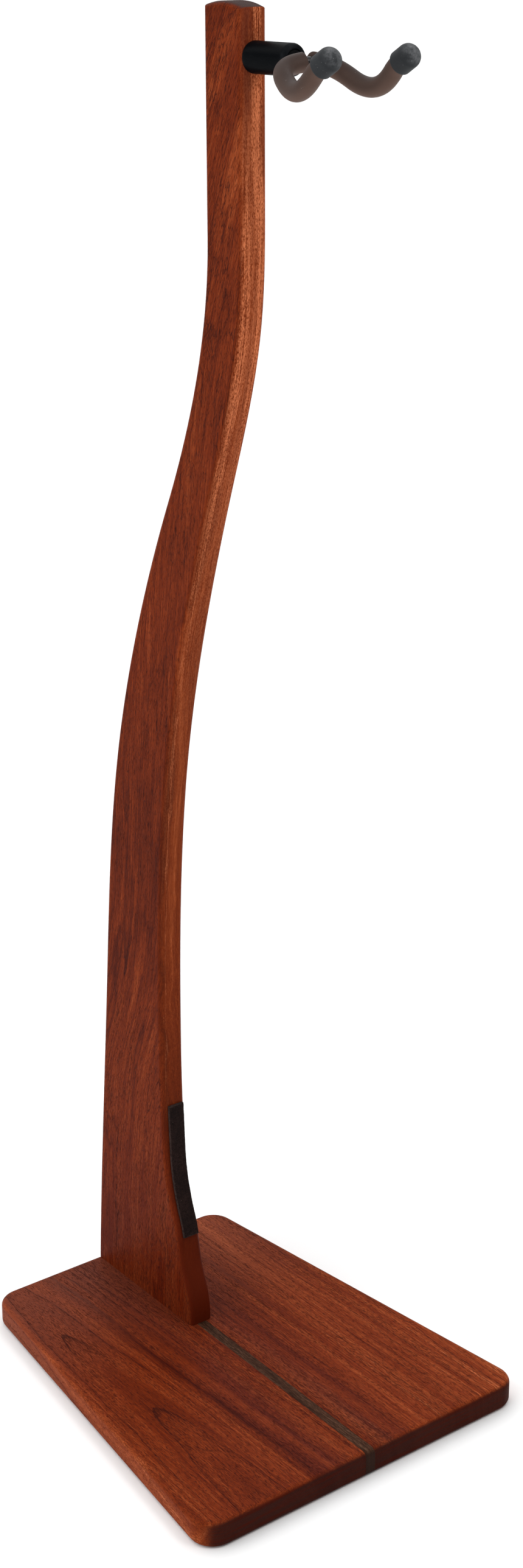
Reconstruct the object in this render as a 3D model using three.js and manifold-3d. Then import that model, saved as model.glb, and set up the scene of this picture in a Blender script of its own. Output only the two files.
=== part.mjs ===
// A free-standing wooden guitar stand: a flat trapezoid base, one curved upright board on edge
// and a swivelling neck yoke.
// Millimetres, +Z up. +X is to the right seen from the front and -Y is the front.
// The origin is the centre of the base's footprint, on the floor.
import * as THREE from "three";
import { mergeVertices } from "three/addons/utils/BufferGeometryUtils.js";
import Module from "manifold-3d";

const wasm = await Module();
wasm.setup();

// ---- Driving dimensions ----
const BOARD = 21; // thickness of the base and of the upright
const GAP = 0.3; // clearance between pieces that touch on curved or turned faces
const GLUE = 0.05; // half the width of a glue line between flat faces
const CUT = 1; // how far a cutting tool reaches past the face that it cuts

const BASE = { frontWidth: 307, backWidth: 226.5, depth: 350, cornerRadius: 19, roundOver: 4.2 };
const STRIP_WIDTH = 8.8;

const ROUND_OVER = 4; // round-over along the upright's edges
// The upright's two edges as [height, depth position, lean], front (-Y) and back (+Y).
const FRONT_EDGE = [
  [27, 39.5, 0],
  [60, 47.4, 0.412],
  [110, 59.8, 0.397],
  [165, 71.9, 0.05],
  [250, 74.4, 0],
  [480, 61.8, -0.138],
  [690, 9.4, -0.33],
  [820, -31.2, -0.2],
  [910, -38, 0],
];
const BACK_EDGE = [
  [21, 175, -0.06],
  [300, 151.5, -0.083],
  [520, 121, -0.256],
  [700, 54.9, -0.476],
  [890, 3.5, 0],
];
const TOP = { frontZ: 1037.5, backZ: 1038.3, crownZ: 1041 };

const PAD = { bottomZ: 93.5, topZ: 205.5, width: 14, centreX: 0.8, thickness: 2.7 };

const YOKE_Z = 1007; // height of the swivel axis
const FACE_Y = -38; // front face of the upright where the barrel sits
const BARREL = { radius: 10.3, length: 42.4, edge: 3.4, boreRadius: 6.6, backWall: 11 };
const BARREL_FRONT = FACE_Y - BARREL.length;
const SHAFT_RADIUS = 3.75;
const SHAFT_TAIL_Y = FACE_Y - 15;
const SHAFT_CHAMFER = 1;
const NECK = { radius: 2.1, length: 5.8 }; // the shaft's thinner end, between the sleeves
const ROD_RADIUS = 3.175;
const ROD_MIDDLE = [0.45, 0.55]; // the share of the rod's length that the shaft's end is shaped to
const SLEEVE_RADIUS = 6.25;
const SLEEVE_START = 2.9; // distance of a sleeve's inner end from the swivel axis
// One arm's bend points as [sideways, forward of the barrel's front, above the axis, turn], where
// turn is how far before and after the point the rod is curved.
const ARM = [
  [0, 13.3, 0, 3.5],
  [22.2, 10.9, -3.4, 14.8],
  [31.8, 42.8, -22.1, 21.7],
  [31.3, 61, -2.1, 4],
  [31, 74.2, 5.1, 0],
];
const CAP = { radius: 7.9, length: 16.7, dome: 7.2, bore: 11.5 };

// Where each piece on the shaft starts and ends, measured back from the barrel's front.
const STACK = { front: [0.2, 13], thrust: [13.2, 14.2], clip: [14.4, 15.6], rear: [18, 26] };
const GROOVE = 1; // depth of the retaining ring's groove in the shaft
const THRUST_RADIUS = 6;
const CLIP_RADIUS = 5.5;

const BOLT_Y = [75, 145];
const BOLT_END = ["front", "rear"];
const BOLT = { radius: 3, headRadius: 5, headHeight: 6, length: 42, hexWidth: 5, hexDepth: 3.2 };
const COUNTERBORE = { radius: 7.5, depth: 9 };
const WASHER = { radius: 6.9, thickness: 1.6 };
const INSERT = { radius: 5, length: 18 }; // in the foot; the barrel's own is as thick but shorter
const STUD = { radius: 3, woodDepth: 32, barrelDepth: 9 };

// ---- Materials ----
const paint = (color, roughness, metalness = 0) =>
  new THREE.MeshStandardMaterial({ color, roughness, metalness });
const mahogany = paint(0x7a3219, 0.45);
const darkWood = paint(0x45322a, 0.5);
const padFelt = paint(0x1d1715, 0.95);
const blackPlastic = paint(0x121316, 0.35);
const brownRubber = paint(0x5f4f49, 0.5);
const blackRubber = paint(0x1c1e20, 0.6);
const nylon = paint(0x17181a, 0.4);
const steel = paint(0x9a9da1, 0.35, 1);
const brass = paint(0xb08d4a, 0.35, 1);

// ---- Tools ----
const stand = new THREE.Group();
stand.name = "guitar_stand";

function add(name, geometry, material) {
  const mesh = new THREE.Mesh(geometry, material);
  mesh.name = name;
  stand.add(mesh);
}

function solid(geometry) {
  const bare = geometry.clone();
  bare.deleteAttribute("normal");
  bare.deleteAttribute("uv");
  const merged = mergeVertices(bare, 1e-4);
  const vertProperties = new Float32Array(merged.attributes.position.array);
  const triVerts = new Uint32Array(merged.index.array);
  return new wasm.Manifold(new wasm.Mesh({ numProp: 3, vertProperties, triVerts }));
}

function geometryOf(manifold) {
  const mesh = manifold.getMesh();
  const geometry = new THREE.BufferGeometry();
  geometry.setAttribute("position", new THREE.BufferAttribute(mesh.vertProperties, 3));
  geometry.setIndex(new THREE.BufferAttribute(mesh.triVerts, 1));
  return geometry;
}

function subtract(geometry, ...tools) {
  let rest = solid(geometry);
  for (const tool of tools) rest = rest.subtract(solid(tool));
  return geometryOf(rest);
}

const intersect = (geometry, tool) => geometryOf(solid(geometry).intersect(solid(tool)));

// A box between two corners.
function block(low, high) {
  const size = high.map((value, axis) => value - low[axis]);
  const centre = high.map((value, axis) => (value + low[axis]) / 2);
  return new THREE.BoxGeometry(...size).translate(...centre);
}

// A round bar along Z or along Y, between two positions on its axis.
function barZ(radius, from, to, y, sides = 24) {
  const bar = new THREE.CylinderGeometry(radius, radius, to - from, sides);
  return bar.rotateX(Math.PI / 2).translate(0, y, (from + to) / 2);
}

function barY(radius, from, to, sides = 24) {
  const bar = new THREE.CylinderGeometry(radius, radius, to - from, sides);
  return bar.translate(0, (from + to) / 2, YOKE_Z);
}

// A turned piece on the swivel axis, from [radius, y] points that run towards the back outside.
function turned(profile, sides = 24) {
  const points = profile.map(([radius, y]) => new THREE.Vector2(radius, y));
  return new THREE.LatheGeometry(points, sides).translate(0, 0, YOKE_Z);
}

// A turned ring with square edges.
const ring = (inner, outer, from, to, sides = 24) =>
  turned([[inner, from], [outer, from], [outer, to], [inner, to], [inner, from]], sides);

// The quarter-round between a turned piece's front face and its side, as [radius, y] points.
function frontRound(radius, frontY, size, steps) {
  const points = [];
  for (let step = 0; step <= steps; step++) {
    const angle = ((step / steps) * Math.PI) / 2;
    const inFromSide = size * (1 - Math.sin(angle));
    points.push([radius - inFromSide, frontY + size * (1 - Math.cos(angle))]);
  }
  return points;
}

// ---- Base ----
// The corners of the base's outline, counter-clockwise from the front left.
function baseCorners() {
  const front = BASE.frontWidth / 2;
  const back = BASE.backWidth / 2;
  const half = BASE.depth / 2;
  return [[-front, -half], [front, -half], [back, half], [-back, half]]
    .map(([x, y]) => new THREE.Vector2(x, y));
}

// A polygon with every corner rounded by an arc.
function roundedPolygon(corners, radius, steps) {
  const points = [];
  corners.forEach((corner, index) => {
    const before = corners.at(index - 1).clone().sub(corner).normalize();
    const after = corners[(index + 1) % corners.length].clone().sub(corner).normalize();
    const half = before.angleTo(after) / 2;
    const inward = before.clone().add(after).normalize();
    const centre = corner.clone().addScaledVector(inward, radius / Math.sin(half));
    const start = corner.clone().addScaledVector(before, radius / Math.tan(half)).sub(centre);
    const sweep = Math.PI - 2 * half;
    for (let step = 0; step <= steps; step++) {
      const turn = (sweep * step) / steps;
      points.push(start.clone().rotateAround(new THREE.Vector2(), turn).add(centre));
    }
  });
  return points;
}

// A flat board with quarter-round edges, from its outline, lying between 0 and its thickness.
function roundedBoard(outline, thickness, roundOver, steps) {
  return new THREE.ExtrudeGeometry(new THREE.Shape(outline), {
    depth: thickness - 2 * roundOver,
    bevelThickness: roundOver,
    bevelSize: roundOver,
    bevelOffset: -roundOver,
    bevelSegments: steps,
  }).translate(0, 0, roundOver);
}

function makeBase() {
  const outline = roundedPolygon(baseCorners(), BASE.cornerRadius, 7);
  const slab = roundedBoard(outline, BOARD, BASE.roundOver, 3);
  const holes = BOLT_Y.flatMap((y) => [
    barZ(COUNTERBORE.radius, -CUT, COUNTERBORE.depth, y),
    barZ(BOLT.radius + GAP, -CUT, BOARD + CUT, y, 16),
  ]);
  const drilled = subtract(slab, ...holes);
  const edge = STRIP_WIDTH / 2;
  const far = BASE.frontWidth;
  const part = (low, high) => intersect(drilled, block([low, -far, -CUT], [high, far, BOARD + CUT]));
  add("base_board_left", part(-far, -edge - GLUE), mahogany);
  add("centre_strip", part(-edge + GLUE, edge - GLUE), darkWood);
  add("base_board_right", part(edge + GLUE, far), mahogany);
}

// ---- Upright ----
// The position of an edge at a height: a smooth curve through its points with their leans.
function edgeAt(edge, z) {
  const last = edge.length - 1;
  if (z <= edge[0][0]) return edge[0][1];
  if (z >= edge[last][0]) return edge[last][1];
  const index = edge.findIndex(([height]) => height > z) - 1;
  const [z0, y0, lean0] = edge[index];
  const [z1, y1, lean1] = edge[index + 1];
  const span = z1 - z0;
  const t = (z - z0) / span;
  const ease = t * t * (3 - 2 * t);
  const leave = t * (1 - t) * (1 - t) * span * lean0;
  const arrive = t * t * (t - 1) * span * lean1;
  return y0 + (y1 - y0) * ease + leave + arrive;
}

// Evenly spaced points up an edge between two heights.
function edgePoints(edge, from, to, steps) {
  const points = [];
  for (let step = 0; step <= steps; step++) {
    const z = from + ((to - from) * step) / steps;
    points.push(new THREE.Vector2(edgeAt(edge, z), z));
  }
  return points;
}

// Turns an outline drawn in (y, z) and extruded by its width into place, centred on x = 0.
function acrossX(geometry, width) {
  const basis = new THREE.Matrix4().makeBasis(
    new THREE.Vector3(0, 1, 0),
    new THREE.Vector3(0, 0, 1),
    new THREE.Vector3(1, 0, 0),
  );
  return geometry.applyMatrix4(basis).translate(-width / 2, 0, 0);
}

function uprightOutline() {
  const below = BOARD - 2 * ROUND_OVER; // the foot is cut flat above this
  const toe = 60;
  const swell = 250; // between the toe and here the front edge curves most
  const bend = 910; // the board is straight above this height
  const back = edgePoints(BACK_EDGE, below, bend, 24);
  const front = [
    ...edgePoints(FRONT_EDGE, below, toe, 5),
    ...edgePoints(FRONT_EDGE, toe, swell, 18).slice(1),
    ...edgePoints(FRONT_EDGE, swell, bend, 20).slice(1),
  ];
  const frontTop = new THREE.Vector2(front.at(-1).x, TOP.frontZ);
  const backTop = new THREE.Vector2(back.at(-1).x, TOP.backZ);
  const control = new THREE.Vector2(
    (frontTop.x + backTop.x) / 2,
    2 * TOP.crownZ - (TOP.frontZ + TOP.backZ) / 2,
  );
  const crown = new THREE.QuadraticBezierCurve(backTop, control, frontTop).getPoints(8);
  return [...back, ...crown, ...front.reverse()];
}

function makeUpright() {
  const board = acrossX(roundedBoard(uprightOutline(), BOARD, ROUND_OVER, 3), BOARD);
  const reach = BASE.depth;
  const floor = block([-BOARD, -reach, -BOARD], [BOARD, reach, BOARD + 2 * GLUE]);
  const insertTop = BOARD + INSERT.length + 2 * GAP;
  const insertHoles = BOLT_Y.flatMap((y) => [
    barZ(INSERT.radius + GAP, 0, insertTop, y),
    barZ(BOLT.radius + GAP, 0, COUNTERBORE.depth + BOLT.length, y, 16),
  ]);
  const studHole = barY(STUD.radius + GAP, FACE_Y - CUT, FACE_Y + STUD.woodDepth + GAP, 16);
  add("upright", subtract(board, floor, ...insertHoles, studHole), mahogany);
}

function makePad() {
  const steps = 12;
  const along = edgePoints(FRONT_EDGE, PAD.bottomZ, PAD.topZ, steps);
  const offset = (distance) => along.map((point, index) => {
    const before = along[Math.max(index - 1, 0)];
    const after = along[Math.min(index + 1, steps)];
    const tangent = after.clone().sub(before).normalize();
    return new THREE.Vector2(point.x - tangent.y * distance, point.y + tangent.x * distance);
  });
  const outline = [...offset(GAP), ...offset(PAD.thickness).reverse()];
  const strip = new THREE.ExtrudeGeometry(new THREE.Shape(outline), {
    depth: PAD.width,
    bevelEnabled: false,
  });
  add("body_pad", acrossX(strip, PAD.width).translate(PAD.centreX, 0, 0), padFelt);
}

// ---- Fasteners under the base ----
function makeBaseBolts() {
  BOLT_Y.forEach((y, index) => {
    const washerTop = COUNTERBORE.depth - GLUE;
    const washerFoot = washerTop - WASHER.thickness;
    const headTop = washerFoot - GLUE;
    const headFoot = headTop - BOLT.headHeight;
    const head = barZ(BOLT.headRadius, headFoot, headTop, y);
    const shank = barZ(BOLT.radius, headTop - CUT, headTop + BOLT.length, y, 16);
    const hexRadius = BOLT.hexWidth / Math.sqrt(3);
    const socket = barZ(hexRadius, headFoot - CUT, headFoot + BOLT.hexDepth, y, 6);
    const bolt = solid(head).add(solid(shank)).subtract(solid(socket));
    const washer = barZ(WASHER.radius, washerFoot, washerTop, y);
    const insertFoot = BOARD + 2 * GAP;
    const insert = barZ(INSERT.radius, insertFoot, insertFoot + INSERT.length, y);
    const clearance = barZ(BOLT.radius + GAP, 0, 2 * BOARD + INSERT.length, y, 16);
    add(`base_bolt_${BOLT_END[index]}`, geometryOf(bolt), steel);
    add(`base_washer_${BOLT_END[index]}`, subtract(washer, clearance), steel);
    add(`foot_insert_${BOLT_END[index]}`, subtract(insert, clearance), brass);
  });
}

// ---- Barrel and what is in it ----
function makeBarrel() {
  const { radius, edge, boreRadius, backWall } = BARREL;
  const back = FACE_Y - GLUE;
  const boreEnd = FACE_Y - backWall;
  const insertBack = boreEnd + STUD.barrelDepth;
  add("yoke_barrel", turned([
    [boreRadius, BARREL_FRONT],
    ...frontRound(radius, BARREL_FRONT, edge, 4),
    [radius, back],
    [STUD.radius + GAP, back],
    [STUD.radius + GAP, insertBack + GAP],
    [INSERT.radius + GAP, insertBack + GAP],
    [INSERT.radius + GAP, boreEnd],
    [boreRadius, boreEnd],
    [boreRadius, BARREL_FRONT],
  ], 28), blackPlastic);
  add("barrel_insert", ring(STUD.radius + GAP, INSERT.radius, boreEnd, insertBack), brass);
  add("hanger_stud", barY(STUD.radius, boreEnd, FACE_Y + STUD.woodDepth, 16), steel);
}

function makeBearing() {
  const stackY = (name) => STACK[name].map((depth) => BARREL_FRONT + depth);
  const bushOuter = BARREL.boreRadius - GAP;
  const bushInner = SHAFT_RADIUS + GAP;
  const grooveRadius = SHAFT_RADIUS - GROOVE;
  const [clipFront, clipBack] = stackY("clip");
  add("front_bushing", ring(bushInner, bushOuter, ...stackY("front")), nylon);
  add("rear_bushing", ring(bushInner, bushOuter, ...stackY("rear")), nylon);
  add("thrust_washer", ring(bushInner, THRUST_RADIUS, ...stackY("thrust")), steel);
  add("retaining_ring", ring(grooveRadius + GAP, CLIP_RADIUS, clipFront, clipBack), steel);
  const weldY = BARREL_FRONT - ARM[0][1] + ROD_RADIUS / 2;
  const shaft = turned([
    [0, weldY],
    [NECK.radius, weldY],
    [NECK.radius, weldY + NECK.length],
    [SHAFT_RADIUS, weldY + NECK.length],
    [SHAFT_RADIUS, clipFront - GAP],
    [grooveRadius, clipFront - GAP],
    [grooveRadius, clipBack + GAP],
    [SHAFT_RADIUS, clipBack + GAP],
    [SHAFT_RADIUS, SHAFT_TAIL_Y - SHAFT_CHAMFER],
    [SHAFT_RADIUS - SHAFT_CHAMFER, SHAFT_TAIL_Y],
    [0, SHAFT_TAIL_Y],
  ], 20);
  const cope = tube(new Stretch(rodPath, ...ROD_MIDDLE), ROD_RADIUS + GAP, 16, 12);
  add("pivot_shaft", subtract(shaft, cope), steel);
}

// ---- Yoke ----
// Straight runs between bend points, with a smooth turn at each of them.
function bentPath(points, turns) {
  const path = new THREE.CurvePath();
  let start = points[0];
  for (let index = 1; index < points.length - 1; index++) {
    const corner = points[index];
    const turn = turns[index];
    const into = points[index - 1].clone().sub(corner).setLength(turn).add(corner);
    const out = points[index + 1].clone().sub(corner).setLength(turn).add(corner);
    path.add(new THREE.LineCurve3(start, into));
    path.add(new THREE.QuadraticBezierCurve3(into, corner, out));
    start = out;
  }
  path.add(new THREE.LineCurve3(start, points.at(-1)));
  return path;
}

// A stretch of another curve, by the share of its length where it starts and ends.
class Stretch extends THREE.Curve {
  constructor(whole, from, to) {
    super();
    this.whole = whole;
    this.from = from;
    this.to = to;
  }
  getPoint(t, target = new THREE.Vector3()) {
    return target.copy(this.whole.getPoint(this.from + (this.to - this.from) * t));
  }
}

const armPoint = (side) => ([x, forward, up]) =>
  new THREE.Vector3(side * x, BARREL_FRONT - forward, YOKE_Z + up);

const leftArm = ARM.slice(1).reverse();
const rodPath = bentPath(
  [...leftArm.map(armPoint(-1)), ...ARM.map(armPoint(1))],
  [...leftArm, ...ARM].map((point) => point[3]),
);

function polygon(radius, sides) {
  const points = [];
  for (let side = 0; side < sides; side++) {
    const angle = (2 * Math.PI * side) / sides;
    points.push(new THREE.Vector2(radius * Math.cos(angle), radius * Math.sin(angle)));
  }
  return points;
}

function tube(path, radius, sides, steps, bore = 0) {
  const section = new THREE.Shape(polygon(radius, sides));
  if (bore) section.holes.push(new THREE.Path(polygon(bore, sides)));
  return new THREE.ExtrudeGeometry(section, { extrudePath: path, steps, bevelEnabled: false });
}

// A cap with its open end at the origin and its dome along +Z.
function capGeometry() {
  const bore = SLEEVE_RADIUS + GAP;
  const dome = [];
  for (let step = 0; step <= 6; step++) {
    const angle = (step / 6) * (Math.PI / 2);
    const height = CAP.length - CAP.dome + CAP.dome * Math.sin(angle);
    dome.push([CAP.radius * Math.cos(angle), height]);
  }
  dome.at(-1)[0] = 0;
  const profile = [[0, CAP.bore], [bore, CAP.bore], [bore, 0], [CAP.radius, 0], ...dome];
  const points = profile.map(([radius, height]) => new THREE.Vector2(radius, height));
  return new THREE.LatheGeometry(points, 20).rotateX(Math.PI / 2);
}

function makeYoke() {
  add("yoke_rod", tube(rodPath, ROD_RADIUS, 10, 60), steel);
  const length = rodPath.getLength();
  const startShare = 0.5 + SLEEVE_START / length;
  const endShare = 1 - GAP / length;
  [["left", -1], ["right", 1]].forEach(([name, side]) => {
    const share = (value) => (side > 0 ? value : 1 - value);
    const path = new Stretch(rodPath, share(startShare), share(endShare));
    const sleeve = tube(path, SLEEVE_RADIUS, 14, 30, ROD_RADIUS + GAP);
    const tip = rodPath.getPoint(share(1));
    const outward = tip.clone().sub(rodPath.getPoint(share(1 - CAP.bore / 2 / length)));
    outward.normalize();
    const cap = capGeometry();
    const turn = new THREE.Quaternion().setFromUnitVectors(new THREE.Vector3(0, 0, 1), outward);
    const open = tip.clone().addScaledVector(outward, GAP - CAP.bore);
    cap.applyQuaternion(turn).translate(open.x, open.y, open.z);
    add(`yoke_sleeve_${name}`, sleeve, brownRubber);
    add(`end_cap_${name}`, cap, blackRubber);
  });
}

makeBase();
makeUpright();
makePad();
makeBaseBolts();
makeBarrel();
makeBearing();
makeYoke();

export default stand;
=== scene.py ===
"""A wooden guitar stand with a swivelling neck yoke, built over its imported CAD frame.

Metres, +Z up, +X to the right seen from the front, -Y towards the front, as in the frame.
"""

import math
from bisect import bisect_right
from functools import partial

import bmesh
import bpy
from mathutils import Matrix, Vector, noise


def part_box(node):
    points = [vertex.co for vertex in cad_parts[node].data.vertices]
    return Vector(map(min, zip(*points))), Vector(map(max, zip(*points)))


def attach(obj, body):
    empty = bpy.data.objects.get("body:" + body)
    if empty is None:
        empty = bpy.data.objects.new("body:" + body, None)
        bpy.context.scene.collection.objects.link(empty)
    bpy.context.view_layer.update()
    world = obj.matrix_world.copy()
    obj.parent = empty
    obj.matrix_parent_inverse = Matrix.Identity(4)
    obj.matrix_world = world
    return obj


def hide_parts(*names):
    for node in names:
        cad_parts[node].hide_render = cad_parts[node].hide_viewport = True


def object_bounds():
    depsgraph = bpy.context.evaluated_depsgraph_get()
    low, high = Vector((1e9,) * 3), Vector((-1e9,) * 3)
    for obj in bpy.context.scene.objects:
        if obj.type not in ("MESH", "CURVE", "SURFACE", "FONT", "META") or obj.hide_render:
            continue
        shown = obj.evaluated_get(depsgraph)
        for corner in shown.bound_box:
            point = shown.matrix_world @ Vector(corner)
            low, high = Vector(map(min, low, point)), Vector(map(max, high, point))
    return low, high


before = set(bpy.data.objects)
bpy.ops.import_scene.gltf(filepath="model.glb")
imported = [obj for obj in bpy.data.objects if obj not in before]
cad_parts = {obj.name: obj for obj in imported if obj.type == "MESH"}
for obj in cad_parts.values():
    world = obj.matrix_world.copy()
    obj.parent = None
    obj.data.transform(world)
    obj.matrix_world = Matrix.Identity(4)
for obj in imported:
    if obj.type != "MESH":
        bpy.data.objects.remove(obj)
cad_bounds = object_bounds()

MM = 0.001
FULL_TURN = 2 * math.pi
RIGHT_ANGLE = math.pi / 2
UPWARD = Vector((0, 0, 1))
BACKWARD = Vector((0, 1, 0))

# ---- Sizes that the frame's boxes don't give ----
GAP = 0.3 * MM  # clearance between turned pieces
BASE_FRONT_WIDTH = 307 * MM  # between the sharp corners that the outline is rounded from
BASE_BACK_WIDTH = 226.5 * MM
BASE_CORNER = 19 * MM
BASE_ROUND = 4.2 * MM
UPRIGHT_ROUND = 4 * MM
# The upright's edges as (height, depth position, lean), front and back.
FRONT_EDGE = [
    (0.027, 0.0395, 0),
    (0.060, 0.0474, 0.412),
    (0.110, 0.0598, 0.397),
    (0.165, 0.0719, 0.05),
    (0.250, 0.0744, 0),
    (0.480, 0.0618, -0.138),
    (0.690, 0.0094, -0.33),
    (0.820, -0.0312, -0.2),
    (0.910, -0.038, 0),
]
BACK_EDGE = [
    (0.021, 0.175, -0.06),
    (0.300, 0.1515, -0.083),
    (0.520, 0.121, -0.256),
    (0.700, 0.0549, -0.476),
    (0.890, 0.0035, 0),
]
# Heights on the upright's crowned top: its front and back corners and its middle.
TOP_FRONT = 1.0375
TOP_BACK = 1.0383
TOP_CROWN = 1.041
TOP_CORNER = 1.2 * MM  # the corners' radius
EDGE_TOP = 1.02  # the edges are drawn up to this height, and the top's corners follow
PAD_THICKNESS = 2.65 * MM
PAD_CORNER = 0.55 * MM
PAD_LIFT = 0.05 * MM

BARREL_EDGE = 3.4 * MM
BARREL_BORE = 6.6 * MM
SHAFT_RADIUS = 3.75 * MM
SHAFT_GROOVE = 1 * MM
BEARING_BORE = SHAFT_RADIUS + 0.1 * MM
NECK_RADIUS = 2.1 * MM
NECK_LENGTH = 5.8 * MM
ROD_RADIUS = 3.175 * MM
SLEEVE_RADIUS = 6.25 * MM
SLEEVE_START = 2.9 * MM
# One arm's corners as (sideways, forward of the barrel's front, above the axis, how far from the
# corner its bend starts).
ARM = [
    (0, 0.0133, 0, 0.0035),
    (0.0222, 0.0109, -0.0034, 0.0148),
    (0.0318, 0.0428, -0.0221, 0.0217),
    (0.0313, 0.061, -0.0021, 0.004),
    (0.031, 0.0742, 0.0051, 0),
]
CAP_RADIUS = 7.9 * MM
CAP_LENGTH = 16.7 * MM
CAP_DOME = 7.2 * MM
CAP_BORE = 11.5 * MM
BOLT_RADIUS = 3 * MM
BOLT_PITCH = 1 * MM
BOLT_CORE = BOLT_RADIUS * 0.83
HEAD_HEIGHT = 6 * MM
SOCKET_RADIUS = 5 * MM / math.sqrt(3)  # to a corner of a 5 mm hexagon
COUNTERBORE = (7.5 * MM, 9 * MM)  # radius and depth

base_low, base_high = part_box("base_board_left")
BOARD = base_high.z - base_low.z
strip_low, strip_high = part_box("centre_strip")
barrel_low, barrel_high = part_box("yoke_barrel")
BARREL_FRONT = barrel_low.y
BARREL_RADIUS = (barrel_high.z - barrel_low.z) / 2
AXIS_Z = (barrel_high.z + barrel_low.z) / 2


# ---- Mesh tools ----
def placed(name, data):
    """A new object in the scene."""
    made = bpy.data.objects.new(name, data)
    bpy.context.scene.collection.objects.link(made)
    return made


def mark(mesh, name, values):
    """Gives each vertex a number, which a material reads by its name."""
    mesh.attributes.new(name, "FLOAT", "POINT").data.foreach_set("value", values)


def skin(name, rings, closed=False, sharp=38):
    """A mesh over rings of points. A closed one joins its last ring to its first."""
    count = len(rings[0])
    points = [tuple(point) for ring in rings for point in ring]
    faces = []
    rows = len(rings) if closed else len(rings) - 1
    for row in range(rows):
        here = row * count
        after = (row + 1) % len(rings) * count
        for side in range(count):
            ahead = (side + 1) % count
            faces.append((here + side, here + ahead, after + ahead, after + side))
    if not closed:
        faces.append(tuple(reversed(range(count))))
        faces.append(tuple(range(len(points) - count, len(points))))
    mesh = bpy.data.meshes.new(name)
    mesh.from_pydata(points, [], faces)
    mesh.validate()
    smooth_curves(mesh, sharp)
    return mesh


def piece(node, ending, mesh, material, body, slot):
    """Shows a mesh in place of a CAD node, riding on a body. The ending finishes its name."""
    made = placed(f"{node}_{ending}", mesh)
    mesh.materials.clear()
    mesh.materials.append(material)
    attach(made, body)
    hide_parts(node)
    return made


def cut(mesh, *cutters):
    """The mesh with every cutter mesh taken out of it."""
    holder = placed("holder", mesh)
    tools = [placed("cutter", cutter) for cutter in cutters]
    for tool in tools:
        step = holder.modifiers.new("cut", "BOOLEAN")
        step.operation = "DIFFERENCE"
        step.solver = "EXACT"
        step.object = tool
    graph = bpy.context.evaluated_depsgraph_get()
    made = bpy.data.meshes.new_from_object(holder.evaluated_get(graph))
    made.name = mesh.name
    for thing in [holder, *tools]:
        bpy.data.objects.remove(thing)
    smooth_curves(made)
    return made


def smooth_curves(mesh, sharp=38):
    """Smooth shading, except on big flat faces and over sharp edges."""
    mesh.shade_smooth()
    for face in mesh.polygons:
        if len(face.vertices) > 8:
            face.use_smooth = False
    mesh.set_sharp_from_angle(angle=math.radians(sharp))


def turned(name, profile, origin, axis, sides, closed=False, shape=None):
    """A piece turned about an axis, from (radius, distance along the axis) points.

    shape(radius, distance, angle) may give another radius, for threads, knurls and sockets.
    """
    forward = Vector(axis).normalized()
    across = forward.orthogonal().normalized()
    if abs(forward.z) > 0.9:
        across = Vector((1, 0, 0))
    other = forward.cross(across)
    rings = []
    for radius, distance in profile:
        reach = partial(shape, radius, distance) if shape else radius
        rings.append(circle(Vector(origin) + forward * distance, across, other, reach, sides))
    return skin(name, rings, closed)


def rounded_corner(radius, distance, size, steps=5):
    """Profile points round an outer corner, from the end face to the side."""
    points = []
    for angle in spaced(0, RIGHT_ANGLE, steps):
        inwards = size * (1 - math.sin(angle))
        points.append((radius - inwards, distance + size * (1 - math.cos(angle))))
    return points


def ring_profile(inner, outer, start, end, chamfer):
    """The closed profile of a ring with chamfered edges."""
    return [
        (inner + chamfer, start),
        (outer - chamfer, start),
        (outer, start + chamfer),
        (outer, end - chamfer),
        (outer - chamfer, end),
        (inner + chamfer, end),
        (inner, end - chamfer),
        (inner, start + chamfer),
    ]


def sweep(name, centres, radii, sides, hollow=None):
    """A tube along centres with a radius at each. hollow is the bore's radius."""
    stations = frames_along(centres)
    rings = [circle(*station, radius, sides) for station, radius in zip(stations, radii)]
    if hollow:
        rings += [circle(*station, hollow, sides) for station in reversed(stations)]
    return skin(name, rings, closed=bool(hollow))


def circle(centre, across, other, radius, sides):
    """Points round a circle. The radius is a number, or a function of the angle."""
    ring = []
    for side in range(sides):
        angle = FULL_TURN * side / sides
        reach = radius(angle) if callable(radius) else radius
        ring.append(centre + (across * math.cos(angle) + other * math.sin(angle)) * reach)
    return ring


def frames_along(centres):
    """Each centre with two directions across the path, turning as little as they can."""
    frames = []
    across = None
    for index, centre in enumerate(centres):
        before = centres[max(index - 1, 0)]
        after = centres[min(index + 1, len(centres) - 1)]
        tangent = (after - before).normalized()
        if across is None:
            across = tangent.cross(UPWARD).normalized()
        across = (across - tangent * across.dot(tangent)).normalized()
        frames.append((centre, across, tangent.cross(across)))
    return frames


def bend(start, corner, end, t):
    """The point at t, from 0 to 1, on a curve that leaves start and reaches end along a corner."""
    return start * (1 - t) ** 2 + corner * (2 * t * (1 - t)) + end * t * t


def thread(core, crest, pitch, start, end):
    """The radius of a screw thread between two distances along its axis."""

    def radius(distance, angle):
        phase = (distance / pitch - angle / FULL_TURN) % 1
        height = 1 - abs(2 * phase - 1)
        fade = min(distance - start, end - distance) / pitch
        return core + (crest - core) * height * min(max(fade, 0), 1)

    return radius


def spaced(start, end, steps):
    return [start + (end - start) * step / steps for step in range(steps + 1)]


# ---- Boards with rounded edges ----
# An outline is a list of functions: each gives its point when the outline is inset by a distance.
def curve_point(place, outward):
    return lambda inset: place - outward * inset


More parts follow.
